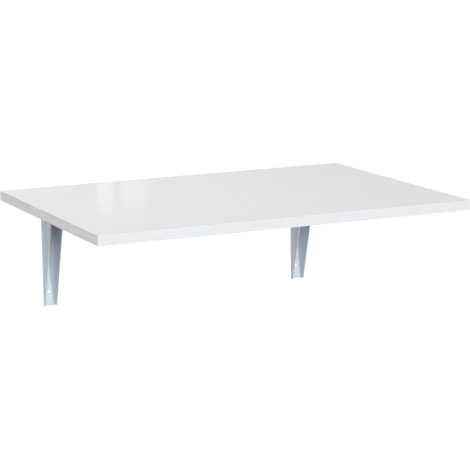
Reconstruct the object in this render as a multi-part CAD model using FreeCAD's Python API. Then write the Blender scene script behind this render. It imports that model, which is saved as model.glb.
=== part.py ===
import FreeCAD, Part
import math
import os

# Drop leaf table for a wall: a laminated board on two folding steel brackets.
# X runs along the wall, Y into the wall, Z up. The wall is the plane Y = 0 and
# the origin is the centre of the four screw holes in the two wall arms.

# Board, in millimetres
board_width = 700.0
board_depth = 500.0
core_thickness = 16.0
laminate_thickness = 1.0
edge_band_thickness = 1.0
arris_radius = 0.5
board_wall_gap = 3.0

# Wall screw pattern
bracket_inset = 90.0
wall_hole_spacing = 90.0
wall_hole_diameter = 5.5

# Sheet metal of the brackets
sheet = 1.5
bend_radius = 1.0
arm_side_gap = 1.0

# Wall arm
wall_arm_width = 24.5
foot_below_hole = 26.5
foot_depth = 11.0
foot_corner_radius = 3.0
pivot_above_hole = 68.0
pivot_depth = 40.0
pivot_below_board = 23.8
board_swing_gap = 3.8

# Table arm
heel_radius = 21.0
heel_back = 18.0
knuckle_radius = 12.0
knee_depth = 12.8
tip_reach = 380.0
tip_depth = 10.0
tip_corner_radius = 5.0

# Pivot
pivot_diameter = 8.0
pivot_head_diameter = 14.0
pivot_head_height = 2.5
washer_diameter = 16.0
washer_face_gap = 0.1
sleeve_wall = 1.5
running_clearance = 0.05
rivet_clearance = 0.02

# Catch pin
catch_diameter = 6.0
catch_radius = 13.0
catch_head_diameter = 9.0
catch_head_height = 1.5
catch_clearance = 0.3
fold_angle = 90.0

# Lock lever
lever_thickness = 4.0
lever_pin_reach = 52.0
lever_pin_drop = 3.0
lever_pin_diameter = 6.0
lever_boss_radius = 8.0
lever_travel = 8.5
tooth_height = 7.0
tooth_face_gap = 0.45
tooth_release_gap = 0.6
stop_tab_half_width = 14.0
stop_gap = 0.4
handle_end_radius = 5.0
spacer_wall = 2.0
spacer_end_gap = 0.1

# Plastic grip on the lever
grip_length = 42.0
grip_wall = 1.5
grip_top_gap = 6.5
grip_side_gap = 1.75
grip_clearance = 0.05
grip_corner_radius = 2.0

# Flat spring
spring_thickness = 0.8
spring_width = 8.0
spring_foot_length = 26.0
spring_fall_length = 26.0
spring_tip_after_tab = 14.0
spring_tip_before_grip = 12.0
spring_tip_length = 6.0
spring_tip_rise = 3.0
spring_lever_gap = 0.3
rivet_diameter = 3.0
rivet_head_diameter = 6.0
rivet_head_height = 1.2

# Screws between table arm and board
screw_diameter = 4.0
screw_length = 16.0
screw_head_diameter = 8.0
screw_head_height = 2.5
screw_crown_radius = 0.8
screw_hole_diameter = 4.5
screw_pilot_clearance = 0.05
rear_screw_reach = 22.0
front_screw_reach = 170.0
tip_screw_margin = 20.0
front_screw_count = 3
screw_socket_width = 2.5
screw_socket_depth = 1.4
screw_socket_sides = 6

# Levels and places that follow from the driving dimensions
board_thickness = core_thickness + 2 * laminate_thickness
foot_level = -wall_hole_spacing / 2 - foot_below_hole
pivot_level = wall_hole_spacing / 2 + pivot_above_hole
underside_level = pivot_level + pivot_below_board
top_level = underside_level + board_thickness
board_back = -board_wall_gap
board_front = board_back - board_depth
wall_lobe_radius = pivot_below_board - board_swing_gap
wall_arm_inside = wall_arm_width - 2 * sheet
table_arm_width = wall_arm_inside - 2 * arm_side_gap
table_arm_inside = table_arm_width - 2 * sheet
web_level = underside_level - sheet
pivot = (-pivot_depth, pivot_level)
lever_pivot = (pivot[0] - lever_pin_reach, pivot[1] - lever_pin_drop)
spring_tip_reach = lever_pin_reach + stop_tab_half_width + spring_tip_after_tab
knee_reach = spring_tip_reach + spring_tip_before_grip
grip_half_height = handle_end_radius + grip_wall
handle_level = underside_level - knee_depth - grip_top_gap - grip_half_height
handle_end = (pivot[0] - knee_reach - grip_length, handle_level)
spring_bend_reach = spring_tip_reach + spring_fall_length
spring_base_reach = spring_bend_reach + spring_foot_length
spring_rivet_reach = spring_bend_reach + spring_foot_length / 2
front_screw_pitch = (tip_reach - tip_screw_margin - front_screw_reach) / (front_screw_count - 1)
screw_reaches = [rear_screw_reach]
for screw in range(front_screw_count):
    screw_reaches.append(front_screw_reach + screw * front_screw_pitch)
bracket_place = board_width / 2 - bracket_inset
brackets = {"left": -bracket_place, "right": bracket_place}


def polar(centre, radius, degrees):
    """Point at a distance and an angle from a centre, in a flat plane."""
    angle = math.radians(degrees)
    return (centre[0] + radius * math.cos(angle), centre[1] + radius * math.sin(angle))


def side_plane(u, v):
    """Side view of the table: u along Y, v along Z."""
    return FreeCAD.Vector(0, u, v)


def plan_plane(u, v):
    """View from above: u along X, v along Y."""
    return FreeCAD.Vector(u, v, 0)


def front_plane(u, v):
    """View from the front: u along X, v along Z."""
    return FreeCAD.Vector(u, 0, v)


def outline(corners, plane):
    """Face of a convex outline; each corner is (u, v, radius), anticlockwise."""
    normals = []
    count = len(corners)
    for index in range(count):
        u0, v0, r0 = corners[index]
        u1, v1, r1 = corners[(index + 1) % count]
        length = math.hypot(u1 - u0, v1 - v0)
        along = ((u1 - u0) / length, (v1 - v0) / length)
        lean = (r0 - r1) / length
        square = math.sqrt(1 - lean * lean)
        normals.append((along[0] * lean + along[1] * square, along[1] * lean - along[0] * square))
    edges = []
    for index in range(count):
        u0, v0, r0 = corners[index]
        u1, v1, r1 = corners[(index + 1) % count]
        before = normals[index - 1]
        after = normals[index]
        if r0 > 0:
            start = math.atan2(before[1], before[0])
            turn = (math.atan2(after[1], after[0]) - start) % (2 * math.pi)
            points = []
            for share in (0, 0.5, 1):
                angle = start + share * turn
                points.append(plane(u0 + r0 * math.cos(angle), v0 + r0 * math.sin(angle)))
            edges.append(Part.Arc(*points).toShape())
        begin = plane(u0 + r0 * after[0], v0 + r0 * after[1])
        end = plane(u1 + r1 * after[0], v1 + r1 * after[1])
        edges.append(Part.LineSegment(begin, end).toShape())
    return Part.Face(Part.Wire(edges))


def side_slab(corners, middle, width):
    """Side view outline with a width along X, centred on one bracket."""
    slab = outline(corners, side_plane).extrude(FreeCAD.Vector(width, 0, 0))
    slab.translate(FreeCAD.Vector(middle - width / 2, 0, 0))
    return slab


def side_disc(centre, radius, middle, width):
    """Round bar along X, centred on one bracket."""
    base = FreeCAD.Vector(middle - width / 2, centre[0], centre[1])
    return Part.makeCylinder(radius, width, base, FreeCAD.Vector(1, 0, 0))


def block(x0, x1, y0, y1, z0, z1):
    """Rectangular block between two corners."""
    return Part.makeBox(x1 - x0, y1 - y0, z1 - z0, FreeCAD.Vector(x0, y0, z0))


def channel_corners(width, depth, radius):
    """Closed end of a channel section, at the top of its outline."""
    half = width / 2
    return [(-half, -depth, 0), (half, -depth, 0), (half - radius, -radius, radius),
            (-half + radius, -radius, radius)]


def channel(width, depth, plane, run):
    """Bent sheet channel of even thickness, swept along a straight run."""
    outer = outline(channel_corners(width, depth, bend_radius + sheet), plane).extrude(run)
    hollow = []
    for u, v, radius in channel_corners(width - 2 * sheet, depth, bend_radius):
        hollow.append((u, v - sheet, radius))
    return outer.cut(outline(hollow, plane).extrude(run))


def save(name, *solids):
    """Write one piece, or a group of like pieces, as its own file."""
    shape = solids[0] if len(solids) == 1 else Part.makeCompound(list(solids))
    shape.exportStep("parts/" + name + ".step")


def wall_arm(middle):
    """Channel on the wall, deep at the pivot and shallow at its foot."""
    top = pivot_level + wall_lobe_radius
    reach = pivot_depth + wall_lobe_radius
    run = FreeCAD.Vector(0, 0, top - foot_level)
    arm = channel(wall_arm_width, reach, plan_plane, run)
    arm.translate(FreeCAD.Vector(middle, 0, foot_level))
    corner = foot_corner_radius
    profile = [(0, foot_level, 0), (0, top, 0), (pivot[0], pivot[1], wall_lobe_radius),
               (-foot_depth + corner, foot_level + corner, corner)]
    arm = arm.common(side_slab(profile, middle, wall_arm_width))
    arm = arm.cut(side_disc(pivot, pivot_diameter / 2 + rivet_clearance, middle, wall_arm_width))
    arm = arm.cut(side_disc(catch_place(), catch_diameter / 2 + rivet_clearance, middle, wall_arm_width))
    for level in (-wall_hole_spacing / 2, wall_hole_spacing / 2):
        base = FreeCAD.Vector(middle, -sheet, level)
        hole = Part.makeCylinder(wall_hole_diameter / 2, sheet, base, FreeCAD.Vector(0, 1, 0))
        arm = arm.cut(hole)
    return arm.removeSplitter()


def catch_place():
    """Cross pin of the wall arm, straight below the pivot."""
    return polar(pivot, catch_radius, -90)


def catch_slot(middle):
    """Arc slot that the cross pin runs in while the leaf folds."""
    half = catch_diameter / 2 + catch_clearance
    ring = side_disc(pivot, catch_radius + half, middle, table_arm_width)
    ring = ring.cut(side_disc(pivot, catch_radius - half, middle, table_arm_width))
    beyond = 2 * (catch_radius + half)
    sector = [pivot + (0,)]
    for angle in (-90 - fold_angle, -90 - fold_angle / 2, -90):
        sector.append(polar(pivot, beyond, angle) + (0,))
    slot = ring.common(side_slab(sector, middle, table_arm_width))
    for angle in (-90, -90 - fold_angle):
        slot = slot.fuse(side_disc(polar(pivot, catch_radius, angle), half, middle, table_arm_width))
    return slot


def table_arm(middle):
    """Channel under the board, deep at the heel and slim at its tip."""
    back = pivot[0] + heel_back
    tip = pivot[0] - tip_reach
    depth = pivot_below_board + heel_radius
    arm = channel(table_arm_width, depth, front_plane, FreeCAD.Vector(0, back - tip, 0))
    arm.translate(FreeCAD.Vector(middle, tip, underside_level))
    heel = [(back, underside_level, 0), (pivot[0] - knee_reach, underside_level, 0),
            (pivot[0] - knee_reach, underside_level - knee_depth, 0),
            (lever_pivot[0], lever_pivot[1], knuckle_radius), (pivot[0], pivot[1], heel_radius)]
    corner = tip_corner_radius
    beam = [(back, underside_level, 0), (tip, underside_level, 0),
            (tip + corner, underside_level - tip_depth + corner, corner),
            (pivot[0] - knee_reach, underside_level - knee_depth, 0), (back, underside_level - knee_depth, 0)]
    profile = side_slab(heel, middle, table_arm_width).fuse(side_slab(beam, middle, table_arm_width))
    arm = arm.common(profile.removeSplitter())
    arm = arm.cut(side_disc(pivot, pivot_diameter / 2 + running_clearance, middle, table_arm_width))
    arm = arm.cut(side_disc(lever_pivot, lever_pin_diameter / 2 + rivet_clearance, middle, table_arm_width))
    arm = arm.cut(catch_slot(middle))
    for reach in screw_reaches:
        arm = arm.cut(upright(middle, reach, web_level, underside_level, screw_hole_diameter / 2))
    rivet_hole = rivet_diameter / 2 + rivet_clearance
    arm = arm.cut(upright(middle, spring_rivet_reach, web_level, underside_level, rivet_hole))
    return arm.removeSplitter()


def upright(middle, reach, low, high, radius):
    """Upright round bar at a distance outward from the pivot."""
    return Part.makeCylinder(radius, high - low, FreeCAD.Vector(middle, pivot[0] - reach, low))


def rivet(centre, middle, width, diameter, head_diameter, head_height):
    """Cross pin with a domed head on both ends."""
    pin = side_disc(centre, diameter / 2, middle, width)
    dome = (head_diameter ** 2 / 4 + head_height ** 2) / (2 * head_height)
    for side in (-1, 1):
        face = middle + side * width / 2
        ball = Part.makeSphere(dome, FreeCAD.Vector(face + side * (head_height - dome), *centre))
        cap = side_disc(centre, head_diameter / 2, face + side * head_height / 2, head_height)
        pin = pin.fuse(ball.common(cap))
    return pin.removeSplitter()


def tube(centre, inner, outer, middle, width):
    """Short round tube along X."""
    return side_disc(centre, outer, middle, width).cut(side_disc(centre, inner, middle, width))


def pivot_washers(middle):
    """One washer in each gap between the two arms."""
    width = arm_side_gap - 2 * washer_face_gap
    inner = pivot_diameter / 2 + running_clearance
    washers = []
    for side in (-1, 1):
        place = middle + side * (table_arm_width + arm_side_gap) / 2
        washers.append(tube(pivot, inner, washer_diameter / 2, place, width))
    return washers


def pivot_sleeve(middle):
    """Spacer tube that keeps the flanges of the table arm apart."""
    inner = pivot_diameter / 2 + running_clearance
    return tube(pivot, inner, inner + sleeve_wall, middle, table_arm_inside)


def lever_turn(point, degrees):
    """Place of a point of the lever after the lever has turned."""
    angle = math.radians(degrees)
    u = point[0] - lever_pivot[0]
    v = point[1] - lever_pivot[1]
    return (lever_pivot[0] + u * math.cos(angle) - v * math.sin(angle),
            lever_pivot[1] + u * math.sin(angle) + v * math.cos(angle))


def handle_corners(extra):
    """Outline of the lever's handle, from its pivot to its round end."""
    return [lever_pivot + (lever_boss_radius + extra,), handle_end + (handle_end_radius + extra,)]


def stop_tab_corners():
    """Roof above the lever's pivot that meets the web at both ends of its travel."""
    height = web_level - stop_gap - lever_pivot[1]
    travel = math.radians(lever_travel)
    ridge = height * math.tan(travel / 2)
    fall = (height - stop_tab_half_width * math.sin(travel)) / math.cos(travel)
    left = lever_pivot[0] - stop_tab_half_width
    right = lever_pivot[0] + stop_tab_half_width
    return [(left, lever_pivot[1] + height, 0), (left, lever_pivot[1], 0), (right, lever_pivot[1], 0),
            (right, lever_pivot[1] + fall, 0), (lever_pivot[0] + ridge, lever_pivot[1] + height, 0)]


def lock_lever(middle):
    """Flat lever, drawn released; it turns by its travel to catch the cross pin."""
    catch = catch_place()
    catch_reach = math.hypot(catch[0] - lever_pivot[0], catch[1] - lever_pivot[1])
    tooth_reach = catch_reach - catch_diameter / 2 - tooth_face_gap
    clear_radius = catch_radius + catch_diameter / 2 + tooth_release_gap
    span = math.hypot(lever_pin_reach, lever_pin_drop)
    cosine = (span ** 2 + tooth_reach ** 2 - clear_radius ** 2) / (2 * span * tooth_reach)
    toward_pivot = math.degrees(math.atan2(lever_pin_drop, lever_pin_reach))
    tip_angle = toward_pivot - math.degrees(math.acos(cosine))
    foot_angle = tip_angle - math.degrees(tooth_height / tooth_reach)
    beyond = tooth_reach + catch_diameter
    arm = side_slab([lever_pivot + (lever_boss_radius,), polar(lever_pivot, beyond, foot_angle) + (0,),
                     polar(lever_pivot, beyond, toward_pivot) + (0,)], middle, lever_thickness)
    arm = arm.common(side_disc(lever_pivot, tooth_reach, middle, lever_thickness))
    lever = arm.fuse(side_slab(handle_corners(0), middle, lever_thickness))
    lever = lever.fuse(side_slab(stop_tab_corners(), middle, lever_thickness))
    lever = lever.cut(side_disc(pivot, clear_radius, middle, lever_thickness))
    folded_catch = lever_turn(polar(pivot, catch_radius, -90 - fold_angle), -lever_travel)
    notch_radius = catch_diameter / 2 + tooth_release_gap
    lever = lever.cut(side_disc(folded_catch, notch_radius, middle, lever_thickness))
    bore = lever_pin_diameter / 2 + running_clearance
    lever = lever.cut(side_disc(lever_pivot, bore, middle, lever_thickness))
    return lever.removeSplitter()


def lever_grip(middle):
    """Moulded sleeve pushed over the end of the handle."""
    corner = grip_corner_radius
    start = handle_end[0] + grip_length - corner
    low = handle_end[1] - grip_half_height + corner
    high = handle_end[1] + grip_half_height - corner
    body = side_slab([(start, low, corner), (start, high, corner), handle_end + (grip_half_height,)],
                     middle, wall_arm_inside - 2 * grip_side_gap)
    rims = [edge for edge in body.Edges if edge.BoundBox.XLength < grip_wall]
    body = body.makeFillet(grip_corner_radius / 2, rims)
    pocket = side_slab(handle_corners(grip_clearance), middle, lever_thickness + 2 * grip_clearance)
    return body.cut(pocket)


def lever_spacers(middle):
    """One short tube on each side of the lever."""
    inner = lever_pin_diameter / 2 + running_clearance
    room = (table_arm_inside - lever_thickness) / 2
    spacers = []
    for side in (-1, 1):
        place = middle + side * (lever_thickness + room) / 2
        spacers.append(tube(lever_pivot, inner, inner + spacer_wall, place, room - 2 * spacer_end_gap))
    return spacers


def handle_top(reach):
    """Height of the handle's upper edge at a distance outward from the pivot."""
    first, last = handle_corners(0)
    length = math.hypot(last[0] - first[0], last[1] - first[1])
    lean = math.asin((last[2] - first[2]) / length) + math.atan2(last[1] - first[1], first[0] - last[0])
    from_boss = first[0] - (pivot[0] - reach)
    return first[1] + first[2] / math.cos(lean) + from_boss * math.tan(lean)


def lever_spring(middle):
    """Bent strip, flat on the web of the table arm and sprung down on to the handle."""
    half = spring_thickness / 2
    foot = web_level - half
    tip = handle_top(spring_tip_reach) + spring_lever_gap + half
    stations = [(pivot[0] - spring_base_reach, foot), (pivot[0] - spring_bend_reach, foot),
                (pivot[0] - spring_tip_reach, tip),
                (pivot[0] - spring_tip_reach + spring_tip_length, tip + spring_tip_rise)]
    strip = None
    for first, last in zip(stations, stations[1:]):
        piece = side_slab([first + (half,), last + (half,)], middle, spring_width)
        strip = piece if strip is None else strip.fuse(piece)
    hole = upright(middle, spring_rivet_reach, foot - half, web_level, rivet_diameter / 2 + rivet_clearance)
    return strip.removeSplitter().cut(hole)


def spring_rivet(middle):
    """Rivet through the spring's foot and the web, flush with the web's upper face."""
    reach = spring_rivet_reach
    seat = web_level - spring_thickness
    shank = upright(middle, reach, seat, underside_level, rivet_diameter / 2)
    head = upright(middle, reach, seat - rivet_head_height, seat, rivet_head_diameter / 2)
    rim = [edge for edge in head.Edges if edge.BoundBox.ZMax < seat - rivet_head_height / 2]
    return shank.fuse(head.makeFillet(rivet_head_height / 2, rim)).removeSplitter()


def arm_screws(middle):
    """Socket screws from the channel up into the board."""
    screws = []
    for reach in screw_reaches:
        seat = web_level
        shank = upright(middle, reach, seat, seat + screw_length, screw_diameter / 2)
        head = upright(middle, reach, seat - screw_head_height, seat, screw_head_diameter / 2)
        rim = [edge for edge in head.Edges if edge.BoundBox.ZMax < seat - screw_head_height / 2]
        head = head.makeFillet(screw_crown_radius, rim)
        low = seat - screw_head_height
        socket = Part.makePolygon(socket_points(middle, reach, low))
        socket = Part.Face(socket).extrude(FreeCAD.Vector(0, 0, screw_socket_depth))
        screws.append(shank.fuse(head).removeSplitter().cut(socket))
    return screws


def socket_points(middle, reach, level):
    """Closed outline of the socket at the bottom of a screw head."""
    radius = screw_socket_width / 2 / math.cos(math.pi / screw_socket_sides)
    points = []
    for corner in range(screw_socket_sides + 1):
        u, v = polar((middle, pivot[0] - reach), radius, corner * 360 / screw_socket_sides)
        points.append(FreeCAD.Vector(u, v, level))
    return points


def with_screw_holes(panel, low):
    """Pilot holes for the arm screws, from a level up into one layer of the board."""
    top = web_level + screw_length + screw_pilot_clearance
    for middle in brackets.values():
        for reach in screw_reaches:
            panel = panel.cut(upright(middle, reach, low, top, screw_diameter / 2 + screw_pilot_clearance))
    return panel


def board_layer(low, high):
    """One flat layer of the board, inside the edge bands."""
    half = board_width / 2 - edge_band_thickness
    return block(-half, half, board_front + edge_band_thickness, board_back - edge_band_thickness, low, high)


def edge_band_corners(outer, inner):
    """Section of an edge strip with eased outer edges, from its outer to its inner face."""
    ease = arris_radius
    step = math.copysign(ease, inner - outer)
    low, high = underside_level, top_level
    corners = [(outer + step, low + ease, ease), (inner, low, 0), (inner, high, 0),
               (outer + step, high - ease, ease)]
    return corners if inner > outer else corners[::-1]


def long_edge_band(outer, inner):
    """Edge strip along the front or the rear of the board."""
    return side_slab(edge_band_corners(outer, inner), 0, board_width)


def short_edge_band(outer, inner):
    """Edge strip along one end of the board, between the front and rear strips."""
    run = FreeCAD.Vector(0, board_depth - 2 * edge_band_thickness, 0)
    strip = outline(edge_band_corners(outer, inner), front_plane).extrude(run)
    strip.translate(FreeCAD.Vector(0, board_front + edge_band_thickness, 0))
    return strip


os.makedirs("parts", exist_ok=True)

core_level = underside_level + laminate_thickness
core_top = core_level + core_thickness
save("tabletop_core", with_screw_holes(board_layer(core_level, core_top), core_level))
save("underside_laminate", with_screw_holes(board_layer(underside_level, core_level), underside_level))
save("top_laminate", board_layer(core_top, top_level))
save("front_edge_band", long_edge_band(board_front, board_front + edge_band_thickness))
save("rear_edge_band", long_edge_band(board_back, board_back - edge_band_thickness))
end = board_width / 2
save("left_edge_band", short_edge_band(-end, -end + edge_band_thickness))
save("right_edge_band", short_edge_band(end, end - edge_band_thickness))

for side, middle in brackets.items():
    save(side + "_wall_arm", wall_arm(middle))
    save(side + "_table_arm", table_arm(middle))
    save(side + "_pivot_pin", rivet(pivot, middle, wall_arm_width, pivot_diameter,
                                    pivot_head_diameter, pivot_head_height))
    save(side + "_pivot_washers", *pivot_washers(middle))
    save(side + "_pivot_sleeve", pivot_sleeve(middle))
    save(side + "_catch_pin", rivet(catch_place(), middle, wall_arm_width, catch_diameter,
                                    catch_head_diameter, catch_head_height))
    save(side + "_lock_lever", lock_lever(middle))
    save(side + "_lever_grip", lever_grip(middle))
    save(side + "_lever_pin", side_disc(lever_pivot, lever_pin_diameter / 2, middle, table_arm_width))
    save(side + "_lever_spacers", *lever_spacers(middle))
    save(side + "_lever_spring", lever_spring(middle))
    save(side + "_spring_rivet", spring_rivet(middle))
    save(side + "_arm_screws", *arm_screws(middle))
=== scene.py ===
import math
import bmesh
import bpy
from mathutils import Matrix, Vector


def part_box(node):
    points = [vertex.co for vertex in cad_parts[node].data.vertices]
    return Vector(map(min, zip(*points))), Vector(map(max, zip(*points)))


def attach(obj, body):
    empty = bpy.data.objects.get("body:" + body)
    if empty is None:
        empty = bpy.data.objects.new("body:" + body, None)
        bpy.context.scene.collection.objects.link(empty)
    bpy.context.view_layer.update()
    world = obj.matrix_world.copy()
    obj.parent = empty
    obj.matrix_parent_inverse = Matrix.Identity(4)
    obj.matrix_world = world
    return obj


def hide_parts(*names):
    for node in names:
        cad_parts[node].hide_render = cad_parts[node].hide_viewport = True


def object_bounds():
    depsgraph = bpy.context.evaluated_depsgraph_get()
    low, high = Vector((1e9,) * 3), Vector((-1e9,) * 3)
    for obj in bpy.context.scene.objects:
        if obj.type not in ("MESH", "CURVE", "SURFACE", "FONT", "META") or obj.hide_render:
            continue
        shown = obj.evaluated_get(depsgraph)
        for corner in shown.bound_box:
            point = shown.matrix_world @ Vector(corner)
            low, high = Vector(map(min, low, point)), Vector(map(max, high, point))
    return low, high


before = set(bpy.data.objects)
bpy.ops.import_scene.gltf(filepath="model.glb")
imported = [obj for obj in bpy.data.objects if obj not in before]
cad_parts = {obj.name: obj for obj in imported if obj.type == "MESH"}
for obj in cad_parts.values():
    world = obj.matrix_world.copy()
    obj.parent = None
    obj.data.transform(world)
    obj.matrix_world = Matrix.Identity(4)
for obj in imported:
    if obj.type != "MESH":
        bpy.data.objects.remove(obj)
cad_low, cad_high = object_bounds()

# Wall arms
# Two channels bent from 1.5 mm steel sheet and powder coated white. They are screwed to the wall
# through their webs, and the baked coat rounds over every cut edge of the sheet.

COAT_COLOUR = (0.735, 0.775, 0.815, 1.0)
COAT_EDGE_RADIUS = 0.0003
ROUNDING_STEPS = 2
SMOOTH_LIMIT = math.radians(32)
FLAT_LIMIT = math.radians(0.5)
SAME_POINT = 0.000001
# Noise lies mostly within a quarter of its middle, so this factor makes it swing from -1 to 1
NOISE_MIDDLE = 0.5
NOISE_SWING = 4.0


def shader_group(name, inputs, outputs):
    """Empty shader group with named sockets; each input is (name, socket type, start value)."""
    tree = bpy.data.node_groups.new(name, "ShaderNodeTree")
    for label, kind, value in inputs:
        socket = tree.interface.new_socket(name=label, in_out="INPUT", socket_type=kind)
        socket.default_value = value
    for label, kind in outputs:
        tree.interface.new_socket(name=label, in_out="OUTPUT", socket_type=kind)
    return tree, tree.nodes.new("NodeGroupInput"), tree.nodes.new("NodeGroupOutput")


def math_node(tree, operation, first, second):
    """Math node whose two inputs are links or plain numbers; returns its output."""
    node = tree.nodes.new("ShaderNodeMath")
    node.operation = operation
    for socket, value in zip(node.inputs, (first, second)):
        if isinstance(value, (int, float)):
            socket.default_value = value
        else:
            tree.links.new(value, socket)
    return node.outputs[0]


def noise_swing(tree, noise):
    """Noise as a value that swings about 0, mostly between -1 and 1."""
    centred = math_node(tree, "SUBTRACT", noise.outputs["Fac"], NOISE_MIDDLE)
    return math_node(tree, "MULTIPLY", centred, NOISE_SWING)


def build_tone_drift():
    """Slow drift of a colour over the surface, as uneven paint, plating or pressing leaves it."""
    tree, given, result = shader_group(
        "tone_drift",
        [("Color", "NodeSocketColor", (0.8, 0.8, 0.8, 1.0)), ("Patch Size", "NodeSocketFloat", 0.05),
         ("Amount", "NodeSocketFloat", 0.03), ("Shade", "NodeSocketFloat", 1.0)],
        [("Color", "NodeSocketColor")])
    place = tree.nodes.new("ShaderNodeTexCoord")
    noise = tree.nodes.new("ShaderNodeTexNoise")
    noise.inputs["Detail"].default_value = 3.0
    tree.links.new(place.outputs["Object"], noise.inputs["Vector"])
    tree.links.new(math_node(tree, "DIVIDE", 1.0, given.outputs["Patch Size"]), noise.inputs["Scale"])
    drift = math_node(tree, "MULTIPLY", noise_swing(tree, noise), given.outputs["Amount"])
    factor = math_node(tree, "MULTIPLY", math_node(tree, "ADD", drift, 1.0), given.outputs["Shade"])
    scale = tree.nodes.new("ShaderNodeVectorMath")
    scale.operation = "SCALE"
    tree.links.new(given.outputs["Color"], scale.inputs[0])
    tree.links.new(factor, scale.inputs["Scale"])
    tree.links.new(scale.outputs[0], result.inputs["Color"])
    return tree


def build_fine_relief():
    """Height of a fine cast, pressed or sprayed texture with cells of one size."""
    tree, given, result = shader_group(
        "fine_relief", [("Cell Size", "NodeSocketFloat", 0.001)], [("Height", "NodeSocketFloat")])
    place = tree.nodes.new("ShaderNodeTexCoord")
    noise = tree.nodes.new("ShaderNodeTexNoise")
    noise.inputs["Detail"].default_value = 1.5
    tree.links.new(place.outputs["Object"], noise.inputs["Vector"])
    tree.links.new(math_node(tree, "DIVIDE", 1.0, given.outputs["Cell Size"]), noise.inputs["Scale"])
    tree.links.new(noise.outputs["Fac"], result.inputs["Height"])
    return tree


def build_rub_marks():
    """Long faint marks along X, Y or Z, as rolling, trimming and wiping leave in gloss and colour."""
    tree, given, result = shader_group(
        "rub_marks",
        [("Roughness", "NodeSocketFloat", 0.3), ("Amount", "NodeSocketFloat", 0.05),
         ("Shade Amount", "NodeSocketFloat", 0.0), ("Mark Size", "NodeSocketVector", (0.05, 0.001, 0.001))],
        [("Roughness", "NodeSocketFloat"), ("Shade", "NodeSocketFloat")])
    place = tree.nodes.new("ShaderNodeTexCoord")
    stretch = tree.nodes.new("ShaderNodeVectorMath")
    stretch.operation = "DIVIDE"
    noise = tree.nodes.new("ShaderNodeTexNoise")
    noise.inputs["Scale"].default_value = 1.0
    noise.inputs["Detail"].default_value = 4.0
    tree.links.new(place.outputs["Object"], stretch.inputs[0])
    tree.links.new(given.outputs["Mark Size"], stretch.inputs[1])
    tree.links.new(stretch.outputs[0], noise.inputs["Vector"])
    swing = noise_swing(tree, noise)
    rubbed = math_node(tree, "MULTIPLY", swing, given.outputs["Amount"])
    shaded = math_node(tree, "MULTIPLY", swing, given.outputs["Shade Amount"])
    tree.links.new(math_node(tree, "ADD", rubbed, given.outputs["Roughness"]), result.inputs["Roughness"])
    tree.links.new(math_node(tree, "ADD", shaded, 1.0), result.inputs["Shade"])
    return tree


tone_drift = build_tone_drift()
fine_relief = build_fine_relief()
rub_marks = build_rub_marks()


def placed(material, tree, **values):
    """One of the shared groups in a material, with its own values."""
    node = material.node_tree.nodes.new("ShaderNodeGroup")
    node.node_tree = tree
    for label, value in values.items():
        node.inputs[label.replace("_", " ")].default_value = value
    return node


def finish_material(name, colour, patch, drift, roughness, rub, mark_size, cell, relief, streak=0.0,
                    metallic=0.0):
    """Surface with drifting colour, rubbed gloss and fine relief, with sizes in metres.

    The colour drifts in patches. Rub changes the gloss, and streak the colour, along marks of one size.
    Relief is the height of the cells.
    """
    material = bpy.data.materials.new(name)
    material.use_nodes = True
    links = material.node_tree.links
    shader = material.node_tree.nodes["Principled BSDF"]
    shader.inputs["Metallic"].default_value = metallic
    tone = placed(material, tone_drift, Color=colour, Patch_Size=patch, Amount=drift)
    gloss = placed(material, rub_marks, Roughness=roughness, Amount=rub, Shade_Amount=streak,
                   Mark_Size=mark_size)
    height = placed(material, fine_relief, Cell_Size=cell)
    bump = material.node_tree.nodes.new("ShaderNodeBump")
    bump.inputs["Distance"].default_value = relief
    links.new(gloss.outputs["Shade"], tone.inputs["Shade"])
    links.new(tone.outputs["Color"], shader.inputs["Base Color"])
    links.new(gloss.outputs["Roughness"], shader.inputs["Roughness"])
    links.new(height.outputs["Height"], bump.inputs["Height"])
    links.new(bump.outputs["Normal"], shader.inputs["Normal"])
    return material


powder_coat = finish_material(
    "white_powder_coat", COAT_COLOUR, patch=0.06, drift=0.008, roughness=0.40, rub=0.03,
    mark_size=(0.004, 0.004, 0.03), cell=0.0011, relief=0.00005)


def put_in_scene(name, data):
    """New object of the scene that holds a mesh, a lamp or a camera."""
    item = bpy.data.objects.new(name, data)
    bpy.context.scene.collection.objects.link(item)
    return item


def rounded_copy(node, body, material, radius):
    """Copy of a rigid piece with its sharp edges rounded, which stands for the piece."""
    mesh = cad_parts[node].data.copy()
    mesh.name = node
    shape = bmesh.new()
    shape.from_mesh(mesh)
    bmesh.ops.remove_doubles(shape, verts=shape.verts, dist=SAME_POINT)
    bmesh.ops.dissolve_limit(shape, angle_limit=FLAT_LIMIT, verts=shape.verts, edges=shape.edges)
    sharp = []
    for edge in shape.edges:
        if len(edge.link_faces) == 2 and edge.calc_face_angle() > SMOOTH_LIMIT:
            sharp.append(edge)
    bmesh.ops.bevel(shape, geom=sharp, offset=radius, segments=ROUNDING_STEPS, profile=0.5, affect="EDGES",
                    clamp_overlap=True)
    bmesh.ops.triangulate(shape, faces=shape.faces, quad_method="BEAUTY", ngon_method="BEAUTY")
    shape.to_mesh(mesh)
    shape.free()
    mesh.materials.clear()
    mesh.materials.append(material)
    mesh.shade_smooth()
    mesh.set_sharp_from_angle(angle=SMOOTH_LIMIT)
    piece = put_in_scene(node + "_finished", mesh)
    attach(piece, body)
    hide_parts(node)


def dress(node, material):
    """Give a piece that keeps its own shape its finish."""
    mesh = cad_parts[node].data
    mesh.materials.clear()
    mesh.materials.append(material)


SIDES = ("left", "right")
for side in SIDES:
    rounded_copy(side + "_wall_arm", "wall_frame", powder_coat, COAT_EDGE_RADIUS)

# Pivot rivets and catch pins
# Steel cross pins, zinc plated, headed over outside the flanges of the wall arms. The large one is
# the axis of the fold and the small one is what the lock lever catches.

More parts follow.
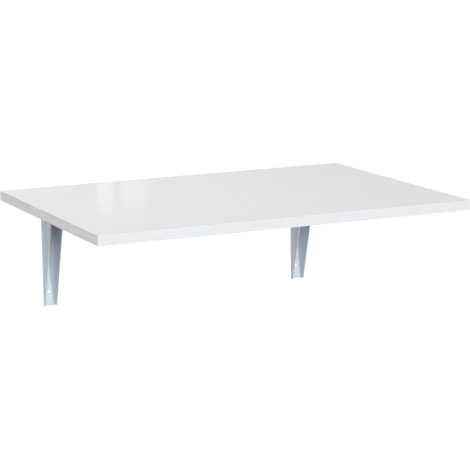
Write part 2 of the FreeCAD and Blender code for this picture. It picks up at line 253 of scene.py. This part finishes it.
zinc_plate = finish_material(
    "zinc_plate", (0.60, 0.61, 0.615, 1.0), patch=0.012, drift=0.05, roughness=0.34, rub=0.05,
    mark_size=(0.0006, 0.012, 0.0008), cell=0.0005, relief=0.000006, metallic=1.0)
for side in SIDES:
    dress(side + "_pivot_pin", zinc_plate)
    dress(side + "_catch_pin", zinc_plate)

# Washers, sleeves and spacers of the pivots
# Natural nylon washers run between the two arms and beside the lever, and a plated steel sleeve
# keeps the flanges of the table arm apart under the rivet.

nylon = finish_material(
    "natural_nylon", (0.74, 0.73, 0.68, 1.0), patch=0.008, drift=0.02, roughness=0.45, rub=0.03,
    mark_size=(0.002, 0.004, 0.004), cell=0.0007, relief=0.00001)
nylon_shader = nylon.node_tree.nodes["Principled BSDF"]
nylon_shader.inputs["Subsurface Weight"].default_value = 0.15
nylon_shader.inputs["Subsurface Scale"].default_value = 0.002
for side in SIDES:
    dress(side + "_pivot_washers", nylon)
    dress(side + "_lever_spacers", nylon)
    dress(side + "_pivot_sleeve", zinc_plate)

# Table arms
# Narrower channels of the same coated sheet, hung on the rivets and screwed under the board. Their
# arc slots run over the catch pins while the leaf folds.

for side in SIDES:
    rounded_copy(side + "_table_arm", "leaf", powder_coat, COAT_EDGE_RADIUS)

# Lock levers and their pins
# Levers stamped from 4 mm steel and zinc plated, on pins riveted flush into the table arms. Stamping
# leaves a slightly rolled edge.

STAMPED_EDGE_RADIUS = 0.0004
for side in SIDES:
    rounded_copy(side + "_lock_lever", side + "_lever", zinc_plate, STAMPED_EDGE_RADIUS)
    dress(side + "_lever_pin", zinc_plate)

# Lever grips
# Grey moulded sleeves pushed over the ends of the levers, spark textured, with raised bars across
# the underside where a finger pushes up.

BAR_COUNT = 7
BAR_PITCH = 0.0045
BAR_RADIUS = 0.0011
BAR_SIDE_MARGIN = 0.0025
BAR_FACETS = 16
GRIP_EDGE_RADIUS = 0.0002

grip_plastic = finish_material(
    "grip_plastic", (0.23, 0.24, 0.255, 1.0), patch=0.02, drift=0.02, roughness=0.52, rub=0.04,
    mark_size=(0.01, 0.004, 0.004), cell=0.00045, relief=0.00003)


def geometry_tree(name, inputs):
    """Empty geometry tree with named inputs; each is (name, socket type, start value)."""
    tree = bpy.data.node_groups.new(name, "GeometryNodeTree")
    tree.is_modifier = True
    sockets = {}
    for label, kind, value in inputs:
        socket = tree.interface.new_socket(name=label, in_out="INPUT", socket_type=kind)
        if value is not None:
            socket.default_value = value
        sockets[label] = socket.identifier
    tree.interface.new_socket(name="Geometry", in_out="OUTPUT", socket_type="NodeSocketGeometry")
    return tree, tree.nodes.new("NodeGroupInput"), tree.nodes.new("NodeGroupOutput"), sockets


def close_tree(tree, given, result, copies):
    """End a tree: its copies become real geometry with the tree's material."""
    real = tree.nodes.new("GeometryNodeRealizeInstances")
    painted = tree.nodes.new("GeometryNodeSetMaterial")
    tree.links.new(copies.outputs[0], real.inputs[0])
    tree.links.new(real.outputs[0], painted.inputs["Geometry"])
    tree.links.new(given.outputs["Material"], painted.inputs["Material"])
    tree.links.new(painted.outputs[0], result.inputs[0])


def grown_mesh(name, tree, sockets, values):
    """Run a geometry tree once and keep what it makes as a plain mesh."""
    host = put_in_scene(name + "_host", bpy.data.meshes.new(name + "_host"))
    modifier = host.modifiers.new(name, "NODES")
    modifier.node_group = tree
    for label, value in values.items():
        modifier[sockets[label]] = value
    bpy.context.view_layer.update()
    seen = host.evaluated_get(bpy.context.evaluated_depsgraph_get())
    mesh = bpy.data.meshes.new_from_object(seen)
    mesh.name = name
    host.modifiers.remove(modifier)
    bpy.data.objects.remove(host)
    return mesh


def build_grip_bars():
    """Row of round bars across X, spaced along Y."""
    tree, given, result, sockets = geometry_tree("grip_bars", [
        ("Count", "NodeSocketInt", BAR_COUNT), ("Pitch", "NodeSocketFloat", BAR_PITCH),
        ("Radius", "NodeSocketFloat", BAR_RADIUS), ("Length", "NodeSocketFloat", 0.01),
        ("Start", "NodeSocketVector", (0.0, 0.0, 0.0)), ("Material", "NodeSocketMaterial", None)])
    links = tree.links
    offset = tree.nodes.new("ShaderNodeCombineXYZ")
    links.new(given.outputs["Pitch"], offset.inputs["Y"])
    row = tree.nodes.new("GeometryNodeMeshLine")
    links.new(given.outputs["Count"], row.inputs["Count"])
    links.new(given.outputs["Start"], row.inputs["Start Location"])
    links.new(offset.outputs[0], row.inputs["Offset"])
    half = math_node(tree, "MULTIPLY", given.outputs["Length"], 0.5)
    ends = []
    for sign in (-1.0, 1.0):
        corner = tree.nodes.new("ShaderNodeCombineXYZ")
        links.new(math_node(tree, "MULTIPLY", half, sign), corner.inputs["X"])
        ends.append(corner.outputs[0])
    spine = tree.nodes.new("GeometryNodeCurvePrimitiveLine")
    links.new(ends[0], spine.inputs["Start"])
    links.new(ends[1], spine.inputs["End"])
    section = tree.nodes.new("GeometryNodeCurvePrimitiveCircle")
    section.inputs["Resolution"].default_value = BAR_FACETS
    links.new(given.outputs["Radius"], section.inputs["Radius"])
    bar = tree.nodes.new("GeometryNodeCurveToMesh")
    bar.inputs["Fill Caps"].default_value = True
    links.new(spine.outputs[0], bar.inputs["Curve"])
    links.new(section.outputs[0], bar.inputs["Profile Curve"])
    copies = tree.nodes.new("GeometryNodeInstanceOnPoints")
    links.new(row.outputs["Mesh"], copies.inputs["Points"])
    links.new(bar.outputs["Mesh"], copies.inputs["Instance"])
    close_tree(tree, given, result, copies)
    return tree, sockets


bars_tree, bars_sockets = build_grip_bars()
for side in SIDES:
    rounded_copy(side + "_lever_grip", side + "_lever", grip_plastic, GRIP_EDGE_RADIUS)
    low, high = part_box(side + "_lever_grip")
    centre = (low + high) / 2
    first = Vector((centre.x, centre.y - BAR_PITCH * (BAR_COUNT - 1) / 2, low.z + BAR_RADIUS / 2))
    bars_mesh = grown_mesh(side + "_grip_bars", bars_tree, bars_sockets, {
        "Count": BAR_COUNT, "Pitch": BAR_PITCH, "Radius": BAR_RADIUS,
        "Length": high.x - low.x - 2 * BAR_SIDE_MARGIN, "Start": first, "Material": grip_plastic})
    bars = put_in_scene(side + "_grip_bars", bars_mesh)
    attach(bars, side + "_lever")

# Lever springs and their rivets
# Bent strips of tempered spring steel, riveted under the webs of the table arms, that press the
# levers home.

spring_steel = finish_material(
    "spring_steel", (0.30, 0.31, 0.34, 1.0), patch=0.01, drift=0.06, roughness=0.30, rub=0.05,
    mark_size=(0.0005, 0.02, 0.02), cell=0.0005, relief=0.000004, metallic=1.0)
for side in SIDES:
    dress(side + "_lever_spring", spring_steel)
    dress(side + "_spring_rivet", zinc_plate)

# Board core
# Wood chips and glue pressed into a board 16 mm thick. The decor sheets and edge strips close it on all
# sides, and the arm screws bite into it from below.

CHIP_SIZE = 0.0025
CHIP_RELIEF = 0.0002
DARK_CHIP = (0.30, 0.20, 0.11, 1.0)
PALE_CHIP = (0.66, 0.51, 0.33, 1.0)
chipboard = bpy.data.materials.new("chipboard")
chipboard.use_nodes = True
chip_nodes = chipboard.node_tree.nodes
chip_links = chipboard.node_tree.links
chip_place = chip_nodes.new("ShaderNodeTexCoord")
chips = chip_nodes.new("ShaderNodeTexVoronoi")
chips.inputs["Scale"].default_value = 1.0 / CHIP_SIZE
chip_tones = chip_nodes.new("ShaderNodeValToRGB")
chip_tones.color_ramp.elements[0].color = DARK_CHIP
chip_tones.color_ramp.elements[1].color = PALE_CHIP
chip_links.new(chip_place.outputs["Object"], chips.inputs["Vector"])
chip_links.new(chips.outputs["Color"], chip_tones.inputs["Fac"])
chip_shader = chip_nodes["Principled BSDF"]
chip_shader.inputs["Roughness"].default_value = 0.85
chip_links.new(chip_tones.outputs["Color"], chip_shader.inputs["Base Color"])
chip_bump = chip_nodes.new("ShaderNodeBump")
chip_bump.inputs["Distance"].default_value = CHIP_RELIEF
chip_links.new(chips.outputs["Distance"], chip_bump.inputs["Height"])
chip_links.new(chip_bump.outputs["Normal"], chip_shader.inputs["Normal"])
dress("tabletop_core", chipboard)

# Decor sheets
# White melamine sheets pressed on both faces of the core. The press plate gives the top a smooth
# gloss with faint lines along its length, and the backing sheet below is duller.

laminate = finish_material(
    "white_laminate", (0.815, 0.80, 0.79, 1.0), patch=0.18, drift=0.004, roughness=0.09, rub=0.012,
    mark_size=(0.20, 0.012, 0.05), cell=0.0016, relief=0.000002, streak=0.025)
backing = finish_material(
    "white_backing", (0.80, 0.80, 0.79, 1.0), patch=0.18, drift=0.006, roughness=0.37, rub=0.03,
    mark_size=(0.22, 0.012, 0.05), cell=0.0014, relief=0.000006, streak=0.007)
dress("top_laminate", laminate)
dress("underside_laminate", backing)

# Edge strips
# White plastic strips glued round the board and trimmed flush, with eased edges and fine lines
# along their length from the trimming cutter.

STRIP_COLOUR = (0.82, 0.80, 0.795, 1.0)
strip_along_x = finish_material(
    "edge_strip_along_x", STRIP_COLOUR, patch=0.09, drift=0.006, roughness=0.36, rub=0.03,
    mark_size=(0.12, 0.004, 0.004), cell=0.0012, relief=0.000005, streak=0.02)
strip_along_y = finish_material(
    "edge_strip_along_y", STRIP_COLOUR, patch=0.09, drift=0.006, roughness=0.36, rub=0.03,
    mark_size=(0.004, 0.09, 0.005), cell=0.0012, relief=0.000005, streak=0.15)
for end in ("front", "rear"):
    dress(end + "_edge_band", strip_along_x)
for end in SIDES:
    dress(end + "_edge_band", strip_along_y)

# Arm screws
# Zinc plated socket screws, four in each table arm, driven up through the web into the board. No
# two sockets stop at the same angle.

SCREW_FACETS = 32
SCREW_HEAD_RADIUS = 0.0040
SCREW_HEAD_HEIGHT = 0.0025
SCREW_SHANK_RADIUS = 0.0020
SCREW_TIP_RADIUS = SCREW_SHANK_RADIUS / 3
SCREW_LENGTH = 0.0160
SCREW_CROWN = 0.0008
CROWN_STEPS = 4
SOCKET_RADIUS = 0.00145
SOCKET_LIP_RADIUS = 1.25 * SOCKET_RADIUS
SOCKET_DEPTH = 0.0014
SOCKET_SIDES = 6
SCREW_SEED = 4
FRONT_SCREW_PLACE = -0.210
FRONT_SCREW_COUNT = 3


def socket_reach(angle):
    """Distance from the screw's axis to the wall of its six-sided socket."""
    half_side = math.pi / SOCKET_SIDES
    from_flat = angle % (2 * half_side) - half_side
    return SOCKET_RADIUS * math.cos(half_side) / math.cos(from_flat)


def ring_of(shape, level, radius=None):
    """Ring of points round Z, of one radius or else along the socket's wall."""
    ring = []
    for corner in range(SCREW_FACETS):
        angle = 2 * math.pi * corner / SCREW_FACETS
        reach = radius or socket_reach(angle)
        ring.append(shape.verts.new((reach * math.cos(angle), reach * math.sin(angle), level)))
    return ring


def join_rings(shape, first, second):
    """Band of faces between two rings."""
    for corner in range(SCREW_FACETS):
        after = (corner + 1) % SCREW_FACETS
        shape.faces.new((first[corner], first[after], second[after], second[corner]))


def screw_mesh():
    """One screw with its seat at the origin, its head below and its shank above."""
    shape = bmesh.new()
    outline = [(SOCKET_LIP_RADIUS, -SCREW_HEAD_HEIGHT)]
    for step in range(CROWN_STEPS + 1):
        angle = math.pi / 2 * step / CROWN_STEPS
        outline.append((SCREW_HEAD_RADIUS - SCREW_CROWN * (1 - math.sin(angle)),
                        -SCREW_HEAD_HEIGHT + SCREW_CROWN * (1 - math.cos(angle))))
    outline += [(SCREW_HEAD_RADIUS, 0.0), (SCREW_SHANK_RADIUS, 0.0),
                (SCREW_SHANK_RADIUS, SCREW_LENGTH - SCREW_SHANK_RADIUS), (SCREW_TIP_RADIUS, SCREW_LENGTH)]
    rings = [ring_of(shape, level, radius) for radius, level in outline]
    for lower, upper in zip(rings, rings[1:]):
        join_rings(shape, lower, upper)
    shape.faces.new(rings[-1])
    mouth = ring_of(shape, -SCREW_HEAD_HEIGHT)
    socket_floor = ring_of(shape, -SCREW_HEAD_HEIGHT + SOCKET_DEPTH)
    join_rings(shape, mouth, rings[0])
    join_rings(shape, socket_floor, mouth)
    shape.faces.new(socket_floor)
    bmesh.ops.recalc_face_normals(shape, faces=shape.faces)
    mesh = bpy.data.meshes.new("arm_screw")
    shape.to_mesh(mesh)
    shape.free()
    mesh.shade_smooth()
    mesh.set_sharp_from_angle(angle=SMOOTH_LIMIT)
    return mesh


def build_screw_row():
    """One screw on each point of a mesh of places, turned at random about its own axis."""
    tree, given, result, sockets = geometry_tree("screw_row", [
        ("Screw", "NodeSocketObject", None), ("Places", "NodeSocketObject", None),
        ("Seed", "NodeSocketInt", SCREW_SEED), ("Material", "NodeSocketMaterial", None)])
    links = tree.links
    parts = []
    for label in ("Screw", "Places"):
        info = tree.nodes.new("GeometryNodeObjectInfo")
        links.new(given.outputs[label], info.inputs["Object"])
        parts.append(info.outputs["Geometry"])
    spin = tree.nodes.new("FunctionNodeRandomValue")
    spin.data_type = "FLOAT_VECTOR"
    spin.inputs["Min"].default_value = (0.0, 0.0, 0.0)
    spin.inputs["Max"].default_value = (0.0, 0.0, 2 * math.pi / SOCKET_SIDES)
    links.new(given.outputs["Seed"], spin.inputs["Seed"])
    copies = tree.nodes.new("GeometryNodeInstanceOnPoints")
    links.new(parts[1], copies.inputs["Points"])
    links.new(parts[0], copies.inputs["Instance"])
    links.new(spin.outputs["Value"], copies.inputs["Rotation"])
    close_tree(tree, given, result, copies)
    return tree, sockets


places = []
for side in SIDES:
    low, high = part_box(side + "_arm_screws")
    seat = low.z + SCREW_HEAD_HEIGHT
    middle = (low.x + high.x) / 2
    tip = low.y + SCREW_HEAD_RADIUS
    places.append((middle, high.y - SCREW_HEAD_RADIUS, seat))
    for screw in range(FRONT_SCREW_COUNT):
        share = screw / (FRONT_SCREW_COUNT - 1)
        places.append((middle, FRONT_SCREW_PLACE + share * (tip - FRONT_SCREW_PLACE), seat))
place_mesh = bpy.data.meshes.new("screw_places")
place_mesh.from_pydata(places, [], [])
place_points = bpy.data.objects.new("screw_places", place_mesh)
one_screw = bpy.data.objects.new("one_screw", screw_mesh())
screw_tree, screw_sockets = build_screw_row()
screws_mesh = grown_mesh("arm_screws", screw_tree, screw_sockets, {
    "Screw": one_screw, "Places": place_points, "Seed": SCREW_SEED, "Material": zinc_plate})
bpy.data.objects.remove(one_screw)
bpy.data.objects.remove(place_points)
screws = put_in_scene("arm_screws", screws_mesh)
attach(screws, "leaf")
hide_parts("left_arm_screws", "right_arm_screws")

# Studio
# A matt floor, seen as white, lies at its usual distance below the table and is clear from underneath.
# The white surround gives a faint cool light, and soft lamps light every side of the table. Only two
# narrow faint ones behind it are reflected, which shows the gloss of the top.

TABLE_HEIGHT = 0.75
FLOOR_HALF = 40.0
FLOOR_COLOUR = (0.40, 0.43, 0.46, 1.0)
FLOOR_LIFT = 0.94
WHITE = (1.0, 1.0, 1.0, 1.0)
SURROUND_LIGHT = (0.64, 0.83, 1.0, 1.0)
SURROUND_STRENGTH = 0.28
LAMP_TARGET = Vector((0.0, -0.25, 0.05))

floor_level = cad_high.z - TABLE_HEIGHT
floor_mesh = bpy.data.meshes.new("floor")
floor_corners = [(-FLOOR_HALF, -FLOOR_HALF, floor_level), (FLOOR_HALF, -FLOOR_HALF, floor_level),
                 (FLOOR_HALF, FLOOR_HALF, floor_level), (-FLOOR_HALF, FLOOR_HALF, floor_level)]
floor_mesh.from_pydata(floor_corners, [], [(0, 1, 2, 3)])
floor = put_in_scene("floor", floor_mesh)


def seen_directly(tree):
    """1 where a camera, mirror or glass ray looks straight at the surroundings, otherwise 0."""
    path = tree.nodes.new("ShaderNodeLightPath")
    direct = math_node(tree, "MAXIMUM", path.outputs["Is Camera Ray"], path.outputs["Is Glossy Ray"])
    return math_node(tree, "MAXIMUM", direct, path.outputs["Is Transmission Ray"])


floor_paint = bpy.data.materials.new("floor_paint")
floor_paint.use_nodes = True
floor_tree = floor_paint.node_tree
floor_shader = floor_tree.nodes["Principled BSDF"]
floor_shader.inputs["Base Color"].default_value = FLOOR_COLOUR
floor_shader.inputs["Roughness"].default_value = 0.9
floor_shader.inputs["Specular IOR Level"].default_value = 0.1
floor_shader.inputs["Emission Color"].default_value = WHITE
lift = math_node(floor_tree, "MULTIPLY", seen_directly(floor_tree), FLOOR_LIFT)
floor_tree.links.new(lift, floor_shader.inputs["Emission Strength"])
floor_side = floor_tree.nodes.new("ShaderNodeNewGeometry")
floor_clear = floor_tree.nodes.new("ShaderNodeBsdfTransparent")
floor_mix = floor_tree.nodes.new("ShaderNodeMixShader")
floor_tree.links.new(floor_side.outputs["Backfacing"], floor_mix.inputs["Fac"])
floor_tree.links.new(floor_shader.outputs["BSDF"], floor_mix.inputs[1])
floor_tree.links.new(floor_clear.outputs["BSDF"], floor_mix.inputs[2])
floor_tree.links.new(floor_mix.outputs[0], floor_tree.nodes["Material Output"].inputs["Surface"])
floor_mesh.materials.append(floor_paint)

world = bpy.data.worlds.new("surround")
bpy.context.scene.world = world
world.use_nodes = True
world_tree = world.node_tree
world_tree.nodes.clear()
ambient = world_tree.nodes.new("ShaderNodeBackground")
ambient.inputs["Color"].default_value = SURROUND_LIGHT
ambient.inputs["Strength"].default_value = SURROUND_STRENGTH
plain_white = world_tree.nodes.new("ShaderNodeBackground")
plain_white.inputs["Color"].default_value = WHITE
surround_mix = world_tree.nodes.new("ShaderNodeMixShader")
surround_out = world_tree.nodes.new("ShaderNodeOutputWorld")
world_tree.links.new(seen_directly(world_tree), surround_mix.inputs["Fac"])
world_tree.links.new(ambient.outputs[0], surround_mix.inputs[1])
world_tree.links.new(plain_white.outputs[0], surround_mix.inputs[2])
world_tree.links.new(surround_mix.outputs[0], surround_out.inputs["Surface"])


def soft_lamp(name, bearing, elevation, distance, width, height, power, colour, spread=180.0,
              reflected=False):
    """Soft box aimed at the middle of the board; bearing is degrees to the right of the front.

    Its light fans out over the spread, and glossy surfaces show the box itself only if it is reflected.
    """
    turn = math.radians(bearing)
    rise = math.radians(elevation)
    out = Vector((math.sin(turn) * math.cos(rise), -math.cos(turn) * math.cos(rise), math.sin(rise)))
    data = bpy.data.lights.new(name, "AREA")
    data.shape = "RECTANGLE"
    data.size = width
    data.size_y = height
    data.energy = power
    data.color = colour
    data.spread = math.radians(spread)
    lamp = put_in_scene(name, data)
    lamp.location = LAMP_TARGET + distance * out
    lamp.rotation_euler = out.to_track_quat("Z", "Y").to_euler()
    lamp.visible_glossy = reflected


soft_lamp("front_right_key", bearing=16.0, elevation=10.0, distance=6.0, width=0.6, height=0.6,
          power=148.0, colour=(1.0, 0.97, 0.955))
soft_lamp("front_fill", bearing=-18.0, elevation=15.0, distance=4.0, width=1.6, height=0.8,
          power=54.0, colour=(0.945, 0.985, 1.0))
soft_lamp("top_left_fill", bearing=-104.0, elevation=66.0, distance=2.1, width=0.9, height=0.9,
          power=20.8, colour=(1.0, 0.91, 0.86))
soft_lamp("left_fill", bearing=-98.0, elevation=9.0, distance=3.0, width=1.2, height=1.2,
          power=12.6, colour=(1.0, 0.82, 0.67))
soft_lamp("right_fill", bearing=95.0, elevation=-3.0, distance=4.0, width=0.4, height=0.3,
          power=4.2, colour=(1.0, 0.98, 0.95), spread=60.0)
soft_lamp("rear_fill", bearing=173.4, elevation=-4.0, distance=4.0, width=0.4, height=0.3,
          power=7.0, colour=(1.0, 0.98, 0.95), spread=60.0)
soft_lamp("back_strip_left", bearing=162.2, elevation=8.8, distance=4.1, width=0.06, height=0.4,
          power=0.018, colour=(1.0, 1.0, 1.0), reflected=True)
soft_lamp("back_strip_right", bearing=160.6, elevation=8.6, distance=4.1, width=0.10, height=0.4,
          power=0.020, colour=(1.0, 1.0, 1.0), reflected=True)

# Camera
# It stands at the front left, above the table, at the photograph's place, with a long lens and a slight
# tilt. Its height is measured from the top of the table.

CAMERA_PLACE = Vector((-1.3960, -3.2729, 0.5623)) + Vector((0.0, 0.0, cad_high.z))
CAMERA_HEADING = math.radians(24.955)
CAMERA_DIP = math.radians(10.811)
CAMERA_TILT = math.radians(0.661)
LENS_LENGTH = 143.68
SENSOR_WIDTH = 36.0
FARTHEST_SEEN = 100.0
camera_data = bpy.data.cameras.new("photo_camera")
camera_data.sensor_fit = "HORIZONTAL"
camera_data.sensor_width = SENSOR_WIDTH
camera_data.lens = LENS_LENGTH
camera_data.clip_end = FARTHEST_SEEN
camera = put_in_scene("photo_camera", camera_data)
aim = Matrix.Rotation(-CAMERA_HEADING, 4, "Z") @ Matrix.Rotation(math.pi / 2 - CAMERA_DIP, 4, "X")
camera.matrix_world = Matrix.Translation(CAMERA_PLACE) @ aim @ Matrix.Rotation(-CAMERA_TILT, 4, "Z")
bpy.context.scene.camera = camera
bpy.context.scene.view_settings.view_transform = "Standard"
